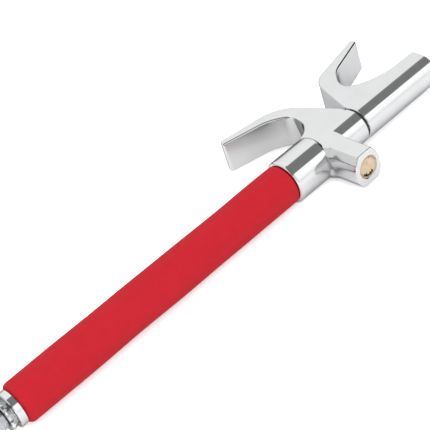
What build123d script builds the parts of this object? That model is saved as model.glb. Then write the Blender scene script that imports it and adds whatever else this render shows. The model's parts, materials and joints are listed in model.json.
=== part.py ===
from build123d import *
import os

# Double-hook steering wheel lock, closed and unlocked, lying on its side.
# The bar's axis is X: the handle is at -X, the rear hook at +X.
# Both hooks stand out towards +Y and the lock housing towards -Y. +Z is up.
# The origin is on the bar's axis, in the gap where the two castings meet.

# ---------------------------------------------------------------- driving dimensions, mm
BAR_R = 16.8            # round bar of both castings
SLEEVE_R = 20.9         # thicker sleeve of the front casting, over the handle tube
HOOK_HALF = 16.0        # half the thickness of the hooks, and the bar's top and bottom flats
EDGE_R = 2.0            # rounding along the hooks' edges
PARTING = 1.2           # each casting stops this far from the parting plane
FRONT_END_R = 0.6       # rounding of the front bar's end
REAR_END_R = 1.8        # rounding of the rear bar's ends

SLEEVE_BACK = -92.0     # end of the sleeve, where the grip begins
SLEEVE_FRONT = -54.0    # where the sleeve starts to come down to the bar
REAR_END = 93.8         # far end of the rear casting

LOCK_X = -40.6          # axis of the lock and of the pawl
HOUSING_FACE = -52.1    # outer face of the lock housing
HOUSING_EDGE_R = 1.4    # rounding round that face
BARREL_R = 10.2
BARREL_BACK = -30.0
PLUG_R = 8.9
PLUG_FACE = HOUSING_FACE + 0.6
KEYWAY_TILT = 14.0      # turn of the keyway and tumblers from upright, degrees
KEYWAY_OUTER = 8.3
KEYWAY_INNER = 6.8
KEYWAY_DEPTH = 20.0

TUBE_R = 15.0           # handle tube
TUBE_BORE_R = 13.0
TUBE_FRONT = -58.0
TUBE_BACK = -388.4
GRIP_R = 19.0
GRIP_FRONT = -92.3
GRIP_BACK = -388.6
GRIP_FRONT_R = 3.4
GRIP_BACK_R = 5.0
FLANGE_BACK = GRIP_BACK - 6.8
SPIGOT_FRONT = -367.0
COLLAR_BACK = FLANGE_BACK - 6.8
COLLAR_R = 14.4
KNURL_COUNT = 18

ROD_R = 8.0
ROD_FRONT = 62.0        # end of the rod inside the rear casting
GROOVE_PITCH = 8.0
GROOVE_COUNT = 30
GROOVE_ROOT_R = 5.5
GROOVE_ROOT_HALF = 1.1  # half the groove's width at its root
GROOVE_MOUTH_HALF = 2.6
ROD_TRAVEL = (GROOVE_COUNT - 1) * GROOVE_PITCH
NECK_R = 6.0            # rod's inner end, inside the slider
BUFFER_FACE = TUBE_FRONT - 4.0
SLIDER_FRONT = BUFFER_FACE - 0.3 - ROD_TRAVEL
SLIDER_BACK = SLIDER_FRONT - 24.0
SLIDER_MIDDLE = (SLIDER_FRONT + SLIDER_BACK) / 2
SLIDER_R = TUBE_BORE_R - 0.1

PAWL_R = 5.0
PAWL_TRAVEL = 2.9
PAWL_TIP = -(ROD_R + 0.55)
PAWL_BACK = -22.0
FOLLOWER_Y = -18.6      # follower pin with the pawl drawn back
FOLLOWER_R = 1.25
CAM_R = 7.4
CAM_BORE_R = PAWL_R + 0.1
CAM_FACE = -28.2
CAM_FLOOR = -25.2
CAM_MOUTH = -12.8
TAIL_SIDE = 6.0         # square drive from the plug to the cam

WAFER_COUNT = 6
WAFER_PITCH = 3.0
WAFER_FIRST = PLUG_FACE + 3.0

TUBE_PIN_X = -75.0
CAP_PIN_X = -378.0
ROD_PIN_X = 30.0
BARREL_PIN_Y = -34.0
PIN_R = 2.0
ROD_PIN_R = 2.5
BARREL_PIN_R = 1.5

RUN = 0.05              # radial clearance of a running fit
SEAT = 0.02             # radial clearance of a fixed seat

# Corners of the hooks' outlines, each with the radius that rounds it.
FRONT_HOOK = [
    ((-88.3, 82.0), 2.3),
    ((-91.0, 74.6), 2.3),
    ((-46.0, 61.7), 38.0),
    ((-30.0, 46.0), 15.0),
    ((-33.0, 29.0), 20.0),
    ((-43.0, 18.2), 24.0),
    ((-62.0, 12.0), 55.0),
    ((-76.0, 11.6), 0),
    ((-76.0, 0.0), 0),
    ((-PARTING, 0.0), 0),
    ((-PARTING, 12.0), 3.0),
    ((-25.3, 70.1), 40.0),
]
REAR_HOOK = [
    ((86.2, 80.8), 2.3),
    ((87.2, 74.0), 2.3),
    ((41.6, 57.8), 28.0),
    ((27.5, 41.0), 18.0),
    ((27.0, 29.3), 9.0),
    ((38.0, 20.0), 36.0),
    ((60.0, 11.8), 58.0),
    ((REAR_END, 11.0), 0),
    ((REAR_END, 0.0), 0),
    ((PARTING, 0.0), 0),
    ((PARTING, 10.8), 3.0),
    ((19.3, 65.4), 25.0),
]
# Lock housing section, as (X from the lock's axis, Z).
HOUSING = [
    ((8.0, HOOK_HALF), 1.8),
    ((12.8, 8.8), 3.0),
    ((14.4, 3.0), 8.0),
    ((14.4, -8.5), 5.0),
    ((9.6, -HOOK_HALF), 5.0),
    ((-9.6, -HOOK_HALF), 5.0),
    ((-14.4, -8.5), 5.0),
    ((-14.4, 3.0), 8.0),
    ((-12.8, 8.8), 3.0),
    ((-8.0, HOOK_HALF), 1.8),
]
# How far the housing flares at its root, as (Y, growth of the section). It grows most towards the sleeve.
HOUSING_FLARE = [
    (-29.0, 0), (-27.0, 0), (-25.0, 0.05), (-23.0, 0.25), (-21.0, 0.65), (-19.0, 1.15), (-17.0, 1.6),
    (-14.0, 2.05), (-10.0, 2.4), (-5.0, 2.6),
]
FLARE_LEAN = 0.45       # how far each section shifts towards the sleeve, per mm of growth
LOCK_AXIS = Axis((LOCK_X, 0, 0), (0, 1, 0))


# ---------------------------------------------------------------- basic shapes
def cylinder_from(place, length, radius):
    """Cylinder that starts at a location and runs along its Z."""
    return place * Cylinder(radius, length, align=(Align.CENTER, Align.CENTER, Align.MIN))


def rod_x(x0, x1, radius):
    return cylinder_from(Location((x0, 0, 0), (0, 90, 0)), x1 - x0, radius)


def rod_y(y0, y1, radius):
    """Cylinder on the lock's axis."""
    return cylinder_from(Location((LOCK_X, y0, 0), (-90, 0, 0)), y1 - y0, radius)


def rod_z(z0, z1, radius, x, y=0.0):
    return cylinder_from(Location((x, y, z0)), z1 - z0, radius)


def ring_x(x0, x1, outer, inner):
    return rod_x(x0, x1, outer) - rod_x(x0 - 1, x1 + 1, inner)


def turned(profile):
    """Solid of revolution about the bar's axis from (x, radius) points."""
    return revolve(make_face(Polyline(*profile, close=True)), Axis.X)


def turned_on_lock(profile):
    """Solid of revolution about the lock's axis from (y, radius) points."""
    outline = [(LOCK_X + radius, y) for y, radius in profile]
    return revolve(make_face(Polyline(*outline, close=True)), LOCK_AXIS)


def rounded_face(corners):
    """Face inside an outline whose corners are each rounded."""
    points = [point for point, _ in corners]
    radii = [radius for _, radius in corners]
    return make_face(FilletPolyline(*points, radius=radii, close=True))


def spring_pin(z0, z1, radius, x, y=0.0):
    """Rolled pin along Z, with its slit towards +X."""
    pin = rod_z(z0, z1, radius, x, y) - rod_z(z0 - 1, z1 + 1, radius * 0.6, x, y)
    return pin - Pos(x + radius, y, (z0 + z1) / 2) * Box(2 * radius, radius * 0.3, z1 - z0 + 2)


# ---------------------------------------------------------------- castings
def hook_plate(corners):
    """Hook cut from thick plate, with its long edges rounded."""
    plate = extrude(rounded_face(corners), HOOK_HALF, both=True)
    faces = plate.faces().sort_by(Axis.Z)
    edges = faces[0].edges() + faces[-1].edges()
    return fillet([edge for edge in edges if edge.center().Y > 10.5], EDGE_R)


def flat_bar(x0, x1, end_r):
    """Round bar with rounded ends and a flat along its top and bottom."""
    corners = [((x0, 0), 0), ((x0, BAR_R), end_r), ((x1, BAR_R), end_r), ((x1, 0), 0)]
    stock = revolve(rounded_face(corners), Axis.X)
    return stock & Pos((x0 + x1) / 2, 0, 0) * Box(x1 - x0 + 2, 3 * BAR_R, 2 * HOOK_HALF)


def sleeve():
    """Thick end of the front casting, rounded down to the bar."""
    corners = [
        ((SLEEVE_BACK, 0), 0),
        ((SLEEVE_BACK, SLEEVE_R), 3.0),
        ((SLEEVE_FRONT + 3.0, SLEEVE_R), 5.0),
        ((SLEEVE_FRONT + 7.0, HOOK_HALF - 2.0), 0),
        ((SLEEVE_FRONT + 7.0, 0), 0),
    ]
    return revolve(rounded_face(corners), Axis.X)


def lock_housing():
    """Boss for the lock, with a flat top level with the hook and a root that flares into the bar."""
    section = rounded_face(HOUSING)
    root = HOUSING_FLARE[0][0]
    boss = extrude(Plane.XZ.offset(-root) * Pos(LOCK_X, 0) * section, root - HOUSING_FACE)
    boss = fillet(boss.faces().sort_by(Axis.Y)[0].edges(), HOUSING_EDGE_R)
    rings = []
    for y, grow in HOUSING_FLARE:
        ring = offset(section, grow).face() if grow else section
        rings.append(Plane.XZ.offset(-y) * Pos(LOCK_X - FLARE_LEAN * grow, 0) * ring)
    return boss + (loft(rings) & Box(400, 400, 2 * HOOK_HALF))


def front_hook_body():
    body = flat_bar(SLEEVE_FRONT, -PARTING, FRONT_END_R) + sleeve() + hook_plate(FRONT_HOOK) + lock_housing()
    body -= rod_x(SLEEVE_BACK - 1, TUBE_FRONT, TUBE_R + SEAT)
    body -= rod_x(SLEEVE_BACK, 0, ROD_R + 0.4)
    body -= rod_x(TUBE_FRONT - 1, -48.5, 10.5)
    body -= rod_x(-19.0, 0, 10.5)
    body -= rod_x(-3.0, 0, 13.5)
    body -= rod_y(HOUSING_FACE - 1, CAM_FACE - 0.2, BARREL_R)
    body -= turned_on_lock([
        (HOUSING_FACE - 0.1, 0), (HOUSING_FACE - 0.1, BARREL_R + 0.6), (HOUSING_FACE + 0.5, BARREL_R),
        (HOUSING_FACE + 0.5, 0),
    ])
    body -= rod_y(CAM_FACE - 1, CAM_MOUTH + 0.4, CAM_R + 0.2)
    body -= rod_y(CAM_MOUTH, 0, PAWL_R + RUN)
    body -= Pos(LOCK_X - 8.3, (CAM_FACE + CAM_MOUTH) / 2, 0) * Box(2.6, CAM_MOUTH - CAM_FACE + 0.4, 2.9)
    body -= rod_z(-SLEEVE_R - 1, -TUBE_R + 1, PIN_R, TUBE_PIN_X)
    body -= rod_z(-SLEEVE_R, -BARREL_R + 1, BARREL_PIN_R, LOCK_X, BARREL_PIN_Y)
    return body


def rear_hook_body():
    body = flat_bar(PARTING, REAR_END, REAR_END_R) + hook_plate(REAR_HOOK)
    body -= rod_x(0, ROD_FRONT + 0.5, ROD_R + SEAT)
    body -= rod_z(-BAR_R - 1, 11.0, ROD_PIN_R, ROD_PIN_X)
    return body


def bumper_ring():
    """Soft ring seated in the front casting that keeps the two castings apart."""
    edge = PARTING - 0.05
    return turned([
        (-2.9, ROD_R + RUN), (-2.9, 13.45), (-edge, 13.45), (-edge, 15.0), (edge, 15.0), (edge, ROD_R + RUN),
    ])


# ---------------------------------------------------------------- handle
def handle_tube():
    tube = ring_x(TUBE_BACK, TUBE_FRONT - 0.1, TUBE_R, TUBE_BORE_R)
    tube -= rod_z(-TUBE_R - 1, 0, PIN_R, TUBE_PIN_X)
    return tube - rod_z(-TUBE_R - 1, TUBE_R + 1, PIN_R, CAP_PIN_X)


def foam_grip():
    corners = [
        ((GRIP_BACK, 0), 0),
        ((GRIP_BACK, GRIP_R), GRIP_BACK_R),
        ((GRIP_FRONT, GRIP_R), GRIP_FRONT_R),
        ((GRIP_FRONT, 0), 0),
    ]
    stock = revolve(rounded_face(corners), Axis.X)
    return stock - rod_x(GRIP_BACK - 1, GRIP_FRONT + 1, TUBE_R + RUN)


def end_cap():
    """Flange behind the grip, with a spigot in the tube and a socket for the hammer tip."""
    flange_front = GRIP_BACK - 0.1
    spigot_r = TUBE_BORE_R - RUN
    cap = turned([
        (FLANGE_BACK, 0), (FLANGE_BACK, 15.2), (FLANGE_BACK + 0.8, 16.0), (flange_front - 0.8, 16.0),
        (flange_front, 15.2), (flange_front, spigot_r), (SPIGOT_FRONT - 1.0, spigot_r),
        (SPIGOT_FRONT, spigot_r - 1.0), (SPIGOT_FRONT, 0),
    ])
    cap -= rod_x(FLANGE_BACK - 1, -381.0, 5.0)
    return cap - rod_z(-TUBE_R, TUBE_R, PIN_R, CAP_PIN_X)


def knurled_collar():
    """Collar that flares away from the flange, with coarse straight knurling."""
    front = FLANGE_BACK - 0.05
    collar = turned([
        (front, 5.1), (front, 12.0), (front - 0.9, 12.0), (front - 4.9, COLLAR_R),
        (COLLAR_BACK + 0.6, COLLAR_R), (COLLAR_BACK, COLLAR_R - 0.6), (COLLAR_BACK, 5.1),
    ])
    for i in range(KNURL_COUNT):
        groove = Pos(front - 4.0, 0, COLLAR_R) * Rotation(45, 0, 0) * Box(12.0, 1.7, 1.7)
        collar -= Rotation(360.0 / KNURL_COUNT * i, 0, 0) * groove
    return collar


def hammer_tip():
    """Hardened window-breaker point, screwed into the end cap through the collar."""
    seat = COLLAR_BACK - 0.05
    return turned([
        (-382.0, 0), (-382.0, 4.5), (-382.5, 4.98), (seat, 4.98), (seat, 9.0), (seat - 0.6, 9.6),
        (seat - 4.5, 9.6), (seat - 8.5, 5.0), (seat - 17.0, 1.0), (seat - 17.6, 0),
    ])


# ---------------------------------------------------------------- rod and slider
def locking_rod():
    points = [
        (SLIDER_BACK - 4.5, 0), (SLIDER_BACK - 4.5, NECK_R - 0.6), (SLIDER_BACK - 3.9, NECK_R),
        (SLIDER_BACK - 2.6, NECK_R), (SLIDER_BACK - 2.6, NECK_R - 1.2), (SLIDER_BACK - 1.3, NECK_R - 1.2),
        (SLIDER_BACK - 1.3, NECK_R), (SLIDER_FRONT + 0.2, NECK_R), (SLIDER_FRONT + 0.2, ROD_R),
    ]
    for i in reversed(range(GROOVE_COUNT)):
        x = LOCK_X - i * GROOVE_PITCH
        points += [
            (x - GROOVE_MOUTH_HALF, ROD_R), (x - GROOVE_ROOT_HALF, GROOVE_ROOT_R),
            (x + GROOVE_ROOT_HALF, GROOVE_ROOT_R), (x + GROOVE_MOUTH_HALF, ROD_R),
        ]
    points += [(ROD_FRONT - 1.0, ROD_R), (ROD_FRONT, ROD_R - 1.0), (ROD_FRONT, 0)]
    return turned(points) - rod_z(-ROD_R - 1, ROD_R + 1, ROD_PIN_R, ROD_PIN_X)


def rod_slider():
    """Nylon piston on the rod's inner end, with a seat for the friction ring."""
    bore = NECK_R + RUN
    return turned([
        (SLIDER_BACK, bore), (SLIDER_BACK, SLIDER_R - 1.0), (SLIDER_BACK + 1.0, SLIDER_R),
        (SLIDER_MIDDLE - 1.6, SLIDER_R), (SLIDER_MIDDLE - 1.6, SLIDER_R - 2.0),
        (SLIDER_MIDDLE + 1.6, SLIDER_R - 2.0), (SLIDER_MIDDLE + 1.6, SLIDER_R),
        (SLIDER_FRONT - 1.0, SLIDER_R), (SLIDER_FRONT, SLIDER_R - 1.0), (SLIDER_FRONT, bore),
    ])


def slider_ring():
    return ring_x(SLIDER_MIDDLE - 1.5, SLIDER_MIDDLE + 1.5, TUBE_BORE_R - RUN, SLIDER_R - 1.9)


def slider_washer():
    return ring_x(SLIDER_BACK - 1.2, SLIDER_BACK - 0.2, 10.0, NECK_R + RUN)


def slider_clip():
    """Open retaining ring in the rod's groove behind the washer."""
    ring = ring_x(SLIDER_BACK - 2.4, SLIDER_BACK - 1.5, NECK_R + 2.2, NECK_R - 1.1)
    return ring - Pos(SLIDER_BACK, 0, -NECK_R) * Box(8.0, 6.5, 2 * NECK_R)


def guide_bush(x0, x1):
    return ring_x(x0, x1, 10.5 - SEAT, ROD_R + RUN)


# ---------------------------------------------------------------- lock
def on_plug(shape):
    """Turns a shape about the lock's axis to the keyway's angle."""
    return shape.rotate(LOCK_AXIS, KEYWAY_TILT)


def lock_barrel():
    r = BARREL_R - SEAT
    barrel = turned_on_lock([
        (PLUG_FACE, PLUG_R + 0.4), (PLUG_FACE, r - 0.4), (PLUG_FACE + 0.4, r), (BARREL_BACK, r),
        (BARREL_BACK, PLUG_R), (PLUG_FACE + 0.4, PLUG_R),
    ])
    return barrel - rod_z(-SLEEVE_R, 0, BARREL_PIN_R, LOCK_X, BARREL_PIN_Y)


def keyway():
    """Crescent keyway along the plug's lower side, with three narrow wards on its inner edge."""
    wedge = Polygon((0, 0), (-20, -19.3), (20, -19.3), align=None)
    section = (Circle(KEYWAY_OUTER) - Circle(KEYWAY_INNER)) & wedge
    ward = Polygon((-1.1, -7.0), (1.1, -7.0), (0.4, -5.1), (-0.4, -5.1), align=None)
    for turn in (-21.0, 18.0, 42.0):
        section += Rot(0, 0, turn) * ward
    face = Plane(origin=(LOCK_X, PLUG_FACE, 0), x_dir=(1, 0, 0), z_dir=(0, -1, 0)) * section
    return extrude(face, 1) + extrude(face, -KEYWAY_DEPTH)


def upright_plates(corners, thickness):
    """One plate for each wafer's place along the plug, from (X from the lock's axis, Z) corners."""
    face = Plane.XZ * Pos(LOCK_X, 0) * Polygon(*corners, align=None)
    plate = extrude(face, thickness / 2, both=True)
    return [on_plug(Pos(0, WAFER_FIRST + i * WAFER_PITCH, 0) * plate) for i in range(WAFER_COUNT)]


def lock_plug():
    r = PLUG_R - RUN
    back = BARREL_BACK
    plug = turned_on_lock([
        (PLUG_FACE, 0), (PLUG_FACE, r - 0.4), (PLUG_FACE + 0.4, r), (back, r), (back, 4.9),
        (back + 1.1, 4.9), (back + 1.1, 6.0), (CAM_FACE - 0.1, 6.0), (CAM_FACE - 0.1, 0),
    ])
    tail = Pos(LOCK_X, (CAM_FACE + CAM_FLOOR) / 2 - 0.15, 0) * Box(TAIL_SIDE, 3.2, TAIL_SIDE)
    plug = plug + tail - on_plug(keyway())
    slot = [(-3.3, -6.9), (3.3, -6.9), (3.3, 1.8), (4.6, 1.8), (4.6, 9.5), (-3.3, 9.5)]
    for space in upright_plates(slot, 1.1):
        plug -= space
    return plug


def wafers():
    """Six tumbler plates with a spring lug each, drawn in flush with the plug as when the key is in."""
    outline = [
        (-3.2, -6.0), (3.2, -6.0), (3.2, 2.2), (4.5, 2.2), (4.5, 3.6), (3.2, 3.6), (3.2, 7.6), (-3.2, 7.6),
    ]
    return upright_plates(outline, 0.9)


def wafer_springs():
    """Small coil springs that stand on the wafers' lugs."""
    path = Helix(pitch=0.62, height=3.1, radius=0.3)
    wire = Plane(origin=path @ 0, z_dir=path % 0) * Circle(0.11)
    coil = sweep(wire, path=path)
    return [on_plug(Pos(LOCK_X + 3.9, WAFER_FIRST + i * WAFER_PITCH, 3.75) * coil) for i in range(WAFER_COUNT)]


def plug_clip():
    """Open retaining ring on the plug behind the barrel."""
    y0 = BARREL_BACK + 0.1
    ring = rod_y(y0, y0 + 0.9, 9.6) - rod_y(y0 - 1, y0 + 2, 5.0)
    return ring - Pos(LOCK_X, y0, 6.0) * Box(6.0, 4.0, 9.0)


def cam_sleeve():
    """Cup driven by the plug's square tail, with a slanting slot that moves the follower."""
    cup = rod_y(CAM_FACE, CAM_MOUTH, CAM_R) - rod_y(CAM_FLOOR, CAM_MOUTH + 1, CAM_BORE_R)
    cup -= Pos(LOCK_X, CAM_FACE, 0) * Box(TAIL_SIDE + 0.1, 12.0, TAIL_SIDE + 0.1)
    wall_r = (CAM_R + CAM_BORE_R) / 2
    rise = PAWL_TRAVEL / 2 / (wall_r * 0.7071)
    middle = Vector(-0.7071, 0, -0.7071)
    across = Vector(0.7071, 0, -0.7071)
    normal = Vector(0, 1, 0) - across * rise
    plane = Plane(origin=(LOCK_X, FOLLOWER_Y + PAWL_TRAVEL / 2, 0), x_dir=middle, z_dir=normal)
    slot = plane * Pos(5.7, 0, 0) * Box(7.0, 13.6, 2 * FOLLOWER_R + 0.9)
    return cup - slot


def locking_pawl():
    """Round pawl with a chisel edge that fits the rod's ring grooves."""
    edge = 0.85
    shoulder = PAWL_TIP - 3.0
    foot = edge + 3.0 * (GROOVE_MOUTH_HALF - GROOVE_ROOT_HALF) / (ROD_R - GROOVE_ROOT_R)
    outline = [
        (LOCK_X - edge, PAWL_TIP), (LOCK_X + edge, PAWL_TIP), (LOCK_X + foot, shoulder),
        (LOCK_X + PAWL_R + 1, shoulder), (LOCK_X + PAWL_R + 1, PAWL_BACK),
        (LOCK_X - PAWL_R - 1, PAWL_BACK), (LOCK_X - PAWL_R - 1, shoulder), (LOCK_X - foot, shoulder),
    ]
    wedge = extrude(make_face(Polyline(*outline, close=True)), PAWL_R + 1, both=True)
    pawl = rod_y(PAWL_BACK, PAWL_TIP, PAWL_R) & wedge
    pawl -= rod_y(PAWL_BACK - 1, PAWL_BACK + 1.5, 3.5)
    return pawl - follower_stock(FOLLOWER_R, 0.9, 10.0)


def follower_stock(radius, near, far):
    """Cylinder towards -X from the lock's axis, at the follower's place."""
    return cylinder_from(Location((LOCK_X - far, FOLLOWER_Y, 0), (0, 90, 0)), far - near, radius)


def pawl_spring():
    """Coil spring between the cam's floor and the pawl."""
    length = PAWL_BACK + 1.5 - CAM_FLOOR - 0.9
    path = Helix(pitch=length / 3.5, height=length, radius=2.6)
    wire = Plane(origin=path @ 0, z_dir=path % 0) * Circle(0.35)
    coil = sweep(wire, path=path)
    return Location((LOCK_X, CAM_FLOOR + 0.45, 0), (-90, 0, 0)) * coil


# ---------------------------------------------------------------- files
PIECES = {
    "front_hook_body": front_hook_body,
    "rear_hook_body": rear_hook_body,
    "bumper_ring": bumper_ring,
    "front_guide_bush": lambda: guide_bush(-18.9, -3.1),
    "rear_guide_bush": lambda: guide_bush(TUBE_FRONT, -48.6),
    "handle_tube": handle_tube,
    "tube_pin": lambda: spring_pin(-20.4, -13.4, PIN_R - SEAT, TUBE_PIN_X),
    "travel_buffer": lambda: ring_x(BUFFER_FACE, TUBE_FRONT - 0.1, TUBE_BORE_R - SEAT, 9.0),
    "foam_grip": foam_grip,
    "end_cap": end_cap,
    "end_cap_pin": lambda: spring_pin(-14.8, 14.8, PIN_R - SEAT, CAP_PIN_X),
    "knurled_collar": knurled_collar,
    "hammer_tip": hammer_tip,
    "locking_rod": locking_rod,
    "rod_pin": lambda: spring_pin(-16.0, 10.8, ROD_PIN_R - SEAT, ROD_PIN_X),
    "rod_slider": rod_slider,
    "slider_ring": slider_ring,
    "slider_washer": slider_washer,
    "slider_clip": slider_clip,
    "lock_barrel": lock_barrel,
    "barrel_pin": lambda: spring_pin(-15.2, -9.3, BARREL_PIN_R - SEAT, LOCK_X, BARREL_PIN_Y),
    "lock_plug": lock_plug,
    "wafers": wafers,
    "wafer_springs": wafer_springs,
    "plug_clip": plug_clip,
    "cam_sleeve": cam_sleeve,
    "locking_pawl": locking_pawl,
    "follower_pin": lambda: follower_stock(FOLLOWER_R - SEAT, 1.0, 8.9),
    "pawl_spring": pawl_spring,
}

os.makedirs("parts", exist_ok=True)
for name, build in PIECES.items():
    shape = build()
    if isinstance(shape, list):
        shape = Compound(children=shape)
    export_step(shape, f"parts/{name}.step")
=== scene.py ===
import json
import math

import bmesh
import bpy
from mathutils import Matrix, Vector


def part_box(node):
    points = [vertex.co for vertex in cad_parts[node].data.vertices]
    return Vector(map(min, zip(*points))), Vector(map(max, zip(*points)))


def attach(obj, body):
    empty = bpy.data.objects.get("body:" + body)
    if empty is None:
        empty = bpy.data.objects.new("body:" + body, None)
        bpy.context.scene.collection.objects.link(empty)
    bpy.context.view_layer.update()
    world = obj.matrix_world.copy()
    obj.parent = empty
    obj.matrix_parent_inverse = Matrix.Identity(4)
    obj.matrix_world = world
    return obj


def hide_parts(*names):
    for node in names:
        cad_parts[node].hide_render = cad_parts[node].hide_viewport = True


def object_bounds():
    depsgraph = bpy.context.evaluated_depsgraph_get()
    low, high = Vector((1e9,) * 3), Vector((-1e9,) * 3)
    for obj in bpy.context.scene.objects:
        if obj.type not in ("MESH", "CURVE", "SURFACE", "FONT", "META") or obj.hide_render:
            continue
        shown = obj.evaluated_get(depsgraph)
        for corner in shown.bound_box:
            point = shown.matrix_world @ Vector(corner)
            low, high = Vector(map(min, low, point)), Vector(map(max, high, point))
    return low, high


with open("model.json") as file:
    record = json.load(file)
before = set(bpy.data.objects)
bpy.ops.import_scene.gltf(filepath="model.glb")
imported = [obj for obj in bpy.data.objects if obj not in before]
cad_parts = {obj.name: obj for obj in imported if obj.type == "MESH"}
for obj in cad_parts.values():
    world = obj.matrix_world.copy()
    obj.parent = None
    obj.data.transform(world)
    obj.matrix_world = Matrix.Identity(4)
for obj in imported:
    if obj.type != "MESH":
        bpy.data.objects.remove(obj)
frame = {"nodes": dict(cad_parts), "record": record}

CAD_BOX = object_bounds()
AIM = Vector((-0.1518, 0.0256, 0.0))    # what the camera and the lights point at


def place(node):
    """Middle and size of a CAD node's box, as two vectors."""
    low, high = (Vector(corner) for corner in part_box(node))
    return (low + high) / 2, high - low


# ---------------------------------------------------------------- node helpers
NOISE_LOW = 0.3     # a noise texture mostly stays between these two values
NOISE_HIGH = 0.7


def new_material(name, color, metallic=0.0, roughness=0.5, **shader):
    """Principled material with plain values on its shader. Returns it with its nodes and links."""
    material = bpy.data.materials.new(name)
    material.use_nodes = True
    nodes, links = material.node_tree.nodes, material.node_tree.links
    bsdf = nodes["Principled BSDF"]
    bsdf.inputs["Base Color"].default_value = (*color, 1.0)
    bsdf.inputs["Metallic"].default_value = metallic
    bsdf.inputs["Roughness"].default_value = roughness
    for socket, value in shader.items():
        bsdf.inputs[socket.replace("_", " ")].default_value = value
    material.diffuse_color = (*color, 1.0)
    return material, nodes, links, bsdf


def coordinates(nodes, links, centre=(0, 0, 0), scale=(1, 1, 1)):
    """Object coordinates, moved so that centre is at zero and then scaled."""
    source = nodes.new("ShaderNodeTexCoord")
    mapping = nodes.new("ShaderNodeMapping")
    mapping.inputs["Location"].default_value = [-c * s for c, s in zip(centre, scale)]
    mapping.inputs["Scale"].default_value = scale
    links.new(source.outputs["Object"], mapping.inputs["Vector"])
    return mapping.outputs["Vector"]


def noise(nodes, links, vector, scale, detail):
    """Noise with about this many cells to a unit of the vector."""
    texture = nodes.new("ShaderNodeTexNoise")
    texture.inputs["Scale"].default_value = scale
    texture.inputs["Detail"].default_value = detail
    links.new(vector, texture.inputs["Vector"])
    return texture.outputs["Fac"]


def math_node(nodes, links, operation, *values):
    """Math node whose inputs are each a number or another node's output."""
    node = nodes.new("ShaderNodeMath")
    node.operation = operation
    for socket, value in zip(node.inputs, values):
        if isinstance(value, (int, float)):
            socket.default_value = value
        else:
            links.new(value, socket)
    return node.outputs[0]


def map_range(nodes, links, value, start, end, low=0.0, high=1.0):
    """Maps start to end onto low to high, and stays there beyond them."""
    node = nodes.new("ShaderNodeMapRange")
    node.inputs["From Min"].default_value = start
    node.inputs["From Max"].default_value = end
    node.inputs["To Min"].default_value = low
    node.inputs["To Max"].default_value = high
    links.new(value, node.inputs["Value"])
    return node.outputs["Result"]


def spread(nodes, links, value, low, high):
    """Maps a noise onto low to high."""
    return map_range(nodes, links, value, NOISE_LOW, NOISE_HIGH, low, high)


def tint(nodes, links, value, dark, light):
    """Colour from dark to light as a noise goes over its range."""
    ramp = nodes.new("ShaderNodeValToRGB")
    for element, position, color in zip(ramp.color_ramp.elements, (NOISE_LOW, NOISE_HIGH), (dark, light)):
        element.position = position
        element.color = (*color, 1.0)
    links.new(value, ramp.inputs["Fac"])
    return ramp.outputs["Color"]


def bump(nodes, links, bsdf, height, distance, strength=1.0, below=None):
    """Bump of the given height in metres, on top of an earlier one if there is one."""
    node = nodes.new("ShaderNodeBump")
    node.inputs["Strength"].default_value = strength
    node.inputs["Distance"].default_value = distance
    links.new(height, node.inputs["Height"])
    if below:
        links.new(below, node.inputs["Normal"])
    links.new(node.outputs["Normal"], bsdf.inputs["Normal"])
    return node.outputs["Normal"]


def shade(color, factor):
    return tuple(min(1.0, c * factor) for c in color)


# ---------------------------------------------------------------- materials
def chrome(name, color, roughness):
    """Plated casting: a bright skin over a surface that was ground by hand, with fine wiping marks."""
    material, nodes, links, bsdf = new_material(
        name, color, metallic=1.0, roughness=roughness, Specular_Tint=(0.45, 0.45, 0.46, 1.0))
    vector = coordinates(nodes, links)
    patches = noise(nodes, links, vector, scale=55.0, detail=2.0)
    skin = tint(nodes, links, patches, shade(color, 0.98), shade(color, 1.02))
    links.new(skin, bsdf.inputs["Base Color"])
    wiped = coordinates(nodes, links, scale=(0.35, 1, 1))
    wipes = noise(nodes, links, wiped, scale=900.0, detail=4.0)
    links.new(spread(nodes, links, wipes, roughness * 0.75, roughness * 1.4), bsdf.inputs["Roughness"])
    grinding = noise(nodes, links, vector, scale=28.0, detail=1.0)
    waves = bump(nodes, links, bsdf, grinding, distance=0.00001)
    bump(nodes, links, bsdf, wipes, distance=0.0000012, below=waves)
    return material


def ground_metal(name, color, roughness, line_scale):
    """Turned, drawn or ground metal, with a few stains and lines square to the axis of greatest scale."""
    material, nodes, links, bsdf = new_material(name, color, metallic=1.0, roughness=roughness)
    stains = noise(nodes, links, coordinates(nodes, links), scale=140.0, detail=4.0)
    links.new(tint(nodes, links, stains, shade(color, 0.82), shade(color, 1.1)), bsdf.inputs["Base Color"])
    lines = noise(nodes, links, coordinates(nodes, links, scale=line_scale), scale=1.0, detail=2.0)
    links.new(spread(nodes, links, lines, roughness * 0.8, roughness * 1.3), bsdf.inputs["Roughness"])
    bump(nodes, links, bsdf, lines, distance=0.00002)
    return material


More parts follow.
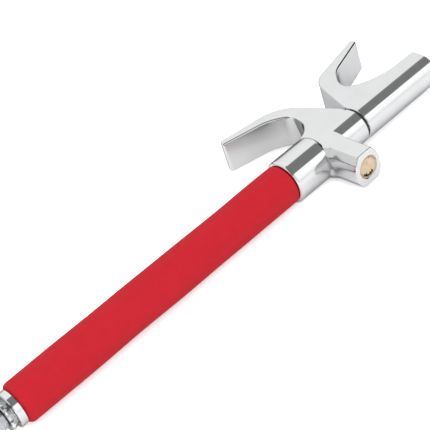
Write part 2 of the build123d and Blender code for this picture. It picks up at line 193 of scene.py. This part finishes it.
def faced_brass(name, color, roughness):
    """Brass faced on a lathe, in rings round the lock's axis: tarnished in patches, with painted shade
    below its face.
    """
    centre = place("lock_plug")[0]
    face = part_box("lock_plug")[0][1] - centre.y
    shade_start_depth, shade_full_depth = 0.0001, 0.0008
    material, nodes, links, bsdf = new_material(name, color, metallic=1.0, roughness=roughness)
    vector = coordinates(nodes, links, centre)

    rings = nodes.new("ShaderNodeTexWave")
    rings.wave_type = "RINGS"
    rings.rings_direction = "Y"
    rings.inputs["Scale"].default_value = 900.0
    rings.inputs["Distortion"].default_value = 0.6
    links.new(vector, rings.inputs["Vector"])
    bump(nodes, links, bsdf, rings.outputs["Fac"], distance=0.000004)

    tarnish = noise(nodes, links, vector, scale=420.0, detail=4.0)
    links.new(spread(nodes, links, tarnish, roughness * 0.8, roughness * 1.3), bsdf.inputs["Roughness"])

    split = nodes.new("ShaderNodeSeparateXYZ")
    links.new(vector, split.inputs["Vector"])
    # Painted shade: from 0.1 mm below the face the colour darkens to near black at 0.8 mm, so the gaps and
    # chamfers round the plug read as dark rings.
    recess_shade = nodes.new("ShaderNodeMix")
    recess_shade.data_type = "RGBA"
    depth = map_range(nodes, links, split.outputs["Y"], face + shade_start_depth, face + shade_full_depth)
    links.new(depth, recess_shade.inputs["Factor"])
    links.new(tint(nodes, links, tarnish, shade(color, 0.84), shade(color, 1.08)), recess_shade.inputs["A"])
    recess_shade.inputs["B"].default_value = (*shade(color, 0.12), 1.0)
    links.new(recess_shade.outputs["Result"], bsdf.inputs["Base Color"])
    return material


def moulded(name, color, roughness, grain, depth):
    """Rubber or nylon with a matt moulded skin."""
    material, nodes, links, bsdf = new_material(name, color, roughness=roughness)
    vector = coordinates(nodes, links)
    skin = noise(nodes, links, vector, scale=grain, detail=3.0)
    cloud = noise(nodes, links, vector, scale=120.0, detail=2.0)
    links.new(tint(nodes, links, cloud, shade(color, 0.85), shade(color, 1.12)), bsdf.inputs["Base Color"])
    links.new(spread(nodes, links, skin, roughness * 0.9, roughness * 1.1), bsdf.inputs["Roughness"])
    bump(nodes, links, bsdf, skin, distance=depth)
    return material


def foam(name, color):
    """Closed-cell foam: fine open pores in a soft skin, a little uneven in colour."""
    material, nodes, links, bsdf = new_material(name, color, roughness=0.8, Specular_IOR_Level=0.15)
    vector = coordinates(nodes, links)
    cloud = noise(nodes, links, vector, scale=90.0, detail=4.0)
    links.new(tint(nodes, links, cloud, shade(color, 0.97), shade(color, 1.03)), bsdf.inputs["Base Color"])
    dents = noise(nodes, links, vector, scale=420.0, detail=3.0)
    soft = bump(nodes, links, bsdf, dents, distance=0.00012)
    pores = nodes.new("ShaderNodeTexVoronoi")
    pores.inputs["Scale"].default_value = 1300.0
    links.new(vector, pores.inputs["Vector"])
    bump(nodes, links, bsdf, pores.outputs["Distance"], distance=0.00010, strength=0.7, below=soft)
    return material


MATERIALS = {
    "chrome": chrome("chrome_plate", (0.63, 0.634, 0.638), 0.09),
    "chrome_knurl": chrome("chrome_knurl", (0.6, 0.604, 0.608), 0.1),
    "hardened_steel": ground_metal("hardened_steel", (0.42, 0.43, 0.45), 0.28, (4000, 500, 500)),
    "tube_steel": ground_metal("drawn_tube", (0.6, 0.6, 0.62), 0.3, (60, 2500, 2500)),
    "rod_steel": ground_metal("turned_rod", (0.68, 0.69, 0.71), 0.22, (5000, 120, 120)),
    "spring_steel": ground_metal("oiled_spring_steel", (0.22, 0.22, 0.23), 0.38, (900, 900, 900)),
    "spring_wire": ground_metal("spring_wire", (0.62, 0.62, 0.6), 0.25, (1500, 1500, 1500)),
    "red_foam": foam("red_foam", (0.39, 0.0112, 0.0196)),
    "black_rubber": moulded("black_rubber", (0.018, 0.018, 0.02), 0.6, grain=1800.0, depth=0.00002),
    "nylon": moulded("natural_nylon", (0.72, 0.7, 0.62), 0.45, grain=900.0, depth=0.00001),
    "bronze": ground_metal("sintered_bronze", (0.5, 0.33, 0.19), 0.42, (2200, 2200, 2200)),
    "brass": faced_brass("barrel_brass", (0.62, 0.5, 0.37), 0.3),
    "plug_brass": faced_brass("plug_brass", (0.6, 0.47, 0.34), 0.32),
    "wafer_brass": ground_metal("stamped_brass", (0.74, 0.56, 0.3), 0.32, (1500, 1500, 1500)),
    "cam_zinc": ground_metal("die_cast_zinc", (0.5, 0.51, 0.52), 0.4, (1200, 1200, 1200)),
}
for part in frame["record"]["subparts"]:
    node = frame["nodes"][part["node"]]
    node.data.materials.clear()
    node.data.materials.append(MATERIALS[part["material_slot"]])


# ---------------------------------------------------------------- foam grip
FOAM_BACK_R = 0.005         # rounding of the foam's end at the hammer
FOAM_FRONT_R = 0.0018       # rounding of its end at the casting
FOAM_GAP = 0.0002           # between the foam and the tube under it
FOAM_STEPS = 150            # along its length
FOAM_SIDES = 96             # round it
FOAM_SHRINK = 0.0003        # keeps the uneven skin inside the CAD solid


def rolled_end(face, bore, outer, radius):
    """Points (x, radius) from the bore round one end of the foam to its outside."""
    points = [(face + 0.0001, bore)]
    for angle in range(10, 91, 10):
        turn = math.radians(angle)
        points.append((face + radius - radius * math.cos(turn), outer - radius + radius * math.sin(turn)))
    return points


def unevenness(turn, x):
    """How far the foam's skin stands off its mean radius, a few tenths of a millimetre at most."""
    round_it = 0.00010 * math.sin(3 * turn + 41 * x) + 0.00008 * math.sin(5 * turn - 83 * x + 1.3)
    along_it = 0.00012 * math.sin(57 * x + 0.7) - FOAM_SHRINK
    return round_it + along_it


def foam_profile(half, bore, outer):
    """Closed outline of the foam's wall as points (x, radius), with x from its middle."""
    profile = rolled_end(-half, bore, outer, FOAM_BACK_R)
    straight = 2 * half - FOAM_BACK_R - FOAM_FRONT_R
    for i in range(1, FOAM_STEPS):
        profile.append((-half + FOAM_BACK_R + straight * i / FOAM_STEPS, outer))
    profile += [(-x, r) for x, r in reversed(rolled_end(-half, bore, outer, FOAM_FRONT_R))]
    return profile


def foam_sleeve():
    """Foam tube pulled over the handle, a little uneven along its length, with soft rolled ends."""
    centre, size = place("foam_grip")
    outer = size.y / 2
    bore = place("handle_tube")[1].y / 2 + FOAM_GAP
    mesh = bmesh.new()
    rings = []
    for x, radius in foam_profile(size.x / 2, bore, outer):
        ring = []
        for j in range(FOAM_SIDES):
            turn = 2 * math.pi * j / FOAM_SIDES
            r = radius + unevenness(turn, x) * min(1.0, (radius - bore) / (outer - bore))
            y, z = r * math.cos(turn), r * math.sin(turn)
            ring.append(mesh.verts.new((centre.x + x, centre.y + y, centre.z + z)))
        rings.append(ring)
    for a, b in zip(rings, rings[1:] + rings[:1]):
        for j in range(FOAM_SIDES):
            k = (j + 1) % FOAM_SIDES
            mesh.faces.new((a[j], a[k], b[k], b[j]))
    bmesh.ops.recalc_face_normals(mesh, faces=mesh.faces)
    data = bpy.data.meshes.new("foam_grip_sleeve")
    mesh.to_mesh(data)
    mesh.free()
    data.shade_smooth()
    data.materials.append(MATERIALS["red_foam"])
    sleeve = bpy.data.objects.new("foam_grip_sleeve", data)
    bpy.context.scene.collection.objects.link(sleeve)
    return sleeve


grip = foam_sleeve()
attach(grip, "handle")
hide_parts("foam_grip")


# ---------------------------------------------------------------- floor
FLOOR_HALF = 4.0            # half the floor's side
FLOOR_DROP = 0.0002         # from the object's lowest point to the floor
FLOOR_GLOW = 0.4            # extra brightness of the floor, seen by the camera only


def floor():
    """Pale paper floor. It is brighter to the camera, so that the chrome still mirrors its shadows."""
    h = FLOOR_HALF
    data = bpy.data.meshes.new("floor")
    data.from_pydata([(-h, -h, 0), (h, -h, 0), (h, h, 0), (-h, h, 0)], [], [(0, 1, 2, 3)])
    sheet = bpy.data.objects.new("floor", data)
    sheet.location.z = CAD_BOX[0][2] - FLOOR_DROP
    bpy.context.scene.collection.objects.link(sheet)
    material, nodes, links, bsdf = new_material(
        "pale_floor", (0.93, 0.93, 0.935), roughness=0.9, Emission_Color=(1.0, 1.0, 1.0, 1.0))
    ray = nodes.new("ShaderNodeLightPath")
    glow = math_node(nodes, links, "MULTIPLY", ray.outputs["Is Camera Ray"], FLOOR_GLOW)
    links.new(glow, bsdf.inputs["Emission Strength"])
    paper = noise(nodes, links, coordinates(nodes, links), scale=300.0, detail=2.0)
    white = tint(nodes, links, paper, (0.925, 0.925, 0.93), (0.935, 0.935, 0.94))
    links.new(white, bsdf.inputs["Base Color"])
    data.materials.append(material)


# ---------------------------------------------------------------- light
# Levels round the bar's axis as (degrees, level), from the +Y horizon over the top to the -Y horizon:
# a dark horizon, a pale side, a grey strip overhead and the other pale side.
ARCH = [
    (0, 0.12), (3, 0.15), (8, 1.29), (80, 1.29), (82.5, 0.275), (131.5, 0.275), (134.5, 1.15), (178, 1.1),
]
# The bright panel's gain over the -Y side, by the same angle, and its reach along the bar from -1 to 1.
PANEL = [(131.5, 0), (134.5, 0.45), (158, 0.4), (178, 0.1)]
PANEL_REACH = [(0.04, 0), (0.2, 1.0), (0.6, 1.0), (0.74, 0)]
# Strength along the bar from -1 to 1: dimmer behind the hammer, and dark and open past the rear hook.
ENDS = [(-0.84, 0.75), (-0.68, 1.0), (0.68, 1.0), (0.84, 0.05)]
ENDS_LEAN = -0.25           # puts the dark end further off on the +Y side
LIGHT_DISTANCE = 2.0        # from the point aimed at to each soft light


def level_ramp(nodes, links, value, stops):
    """Grey level from a list of (position, level)."""
    ramp = nodes.new("ShaderNodeValToRGB")
    elements = ramp.color_ramp.elements
    while len(elements) < len(stops):
        elements.new(0.5)
    for element, (position, level) in zip(elements, stops):
        element.position = position
        element.color = (level, level, level, 1.0)
    links.new(value, ramp.inputs["Fac"])
    return ramp.outputs["Color"]


def along_ramp(nodes, links, value, stops):
    """Grey level along the bar, where the value and the stops' positions go from -1 to 1."""
    half = math_node(nodes, links, "MULTIPLY_ADD", value, 0.5, 0.5)
    return level_ramp(nodes, links, half, [(0.5 + 0.5 * position, level) for position, level in stops])


def tent():
    """Light tent as the world's light, with a grey strip overhead, a bright panel and a dark open end."""
    world = bpy.data.worlds.new("tent")
    world.use_nodes = True
    bpy.context.scene.world = world
    nodes, links = world.node_tree.nodes, world.node_tree.links
    source = nodes.new("ShaderNodeTexCoord")
    split = nodes.new("ShaderNodeSeparateXYZ")
    links.new(source.outputs["Generated"], split.inputs["Vector"])
    x, y, z = split.outputs

    upward = math_node(nodes, links, "MAXIMUM", z, 0.0001)
    turn = math_node(nodes, links, "ARCTAN2", upward, y)
    half_turns = math_node(nodes, links, "DIVIDE", turn, math.pi)
    arch = level_ramp(nodes, links, half_turns, [(degrees / 180, level) for degrees, level in ARCH])
    panel = level_ramp(nodes, links, half_turns, [(degrees / 180, gain) for degrees, gain in PANEL])
    reach = along_ramp(nodes, links, x, PANEL_REACH)
    gain = math_node(nodes, links, "MULTIPLY_ADD", panel, reach, 1.0)

    sideways = math_node(nodes, links, "MAXIMUM", y, 0.0)
    along = math_node(nodes, links, "MULTIPLY_ADD", sideways, ENDS_LEAN, x)
    ends = along_ramp(nodes, links, along, ENDS)
    links.new(arch, nodes["Background"].inputs["Color"])
    links.new(math_node(nodes, links, "MULTIPLY", ends, gain), nodes["Background"].inputs["Strength"])


def direction(azimuth, elevation):
    """Unit vector at an azimuth from +X and an elevation, both in degrees."""
    azimuth, elevation = math.radians(azimuth), math.radians(elevation)
    level = math.cos(elevation)
    return Vector((level * math.cos(azimuth), level * math.sin(azimuth), math.sin(elevation)))


def soft_light(name, azimuth, elevation, size, energy):
    """Large soft light for the floor and the foam; the chrome sees only the tent."""
    data = bpy.data.lights.new(name, "AREA")
    data.shape = "RECTANGLE"
    data.size = size
    data.size_y = size
    data.energy = energy
    lamp = bpy.data.objects.new(name, data)
    back = direction(azimuth, elevation)
    spot = Matrix.Translation(AIM + back * LIGHT_DISTANCE)
    lamp.matrix_world = spot @ back.to_track_quat("Z", "Y").to_matrix().to_4x4()
    lamp.visible_glossy = False
    bpy.context.scene.collection.objects.link(lamp)


# ---------------------------------------------------------------- camera
CAMERA_AZIMUTH = -120.58
CAMERA_ELEVATION = 36.19
CAMERA_ROLL = 19.92
CAMERA_DISTANCE = 1.0787
CAMERA_LENS = 106.6         # millimetres, for a 36 mm wide sensor


def camera():
    """Camera to the front left of the handle, looking down, rolled so that the bar fills the diagonal."""
    back = direction(CAMERA_AZIMUTH, CAMERA_ELEVATION)
    data = bpy.data.cameras.new("camera")
    data.sensor_width = 36.0
    data.lens = CAMERA_LENS
    eye = bpy.data.objects.new("camera", data)
    roll = Matrix.Rotation(-math.radians(CAMERA_ROLL), 3, "Z")
    turn = back.to_track_quat("Z", "Y").to_matrix() @ roll
    eye.matrix_world = Matrix.Translation(AIM + back * CAMERA_DISTANCE) @ turn.to_4x4()
    bpy.context.scene.collection.objects.link(eye)
    bpy.context.scene.camera = eye


floor()
tent()
soft_light("overhead", azimuth=0, elevation=88, size=2.4, energy=12.0)
soft_light("key", azimuth=-120, elevation=52, size=1.4, energy=30.0)
camera()
bpy.context.scene.view_settings.view_transform = "Standard"
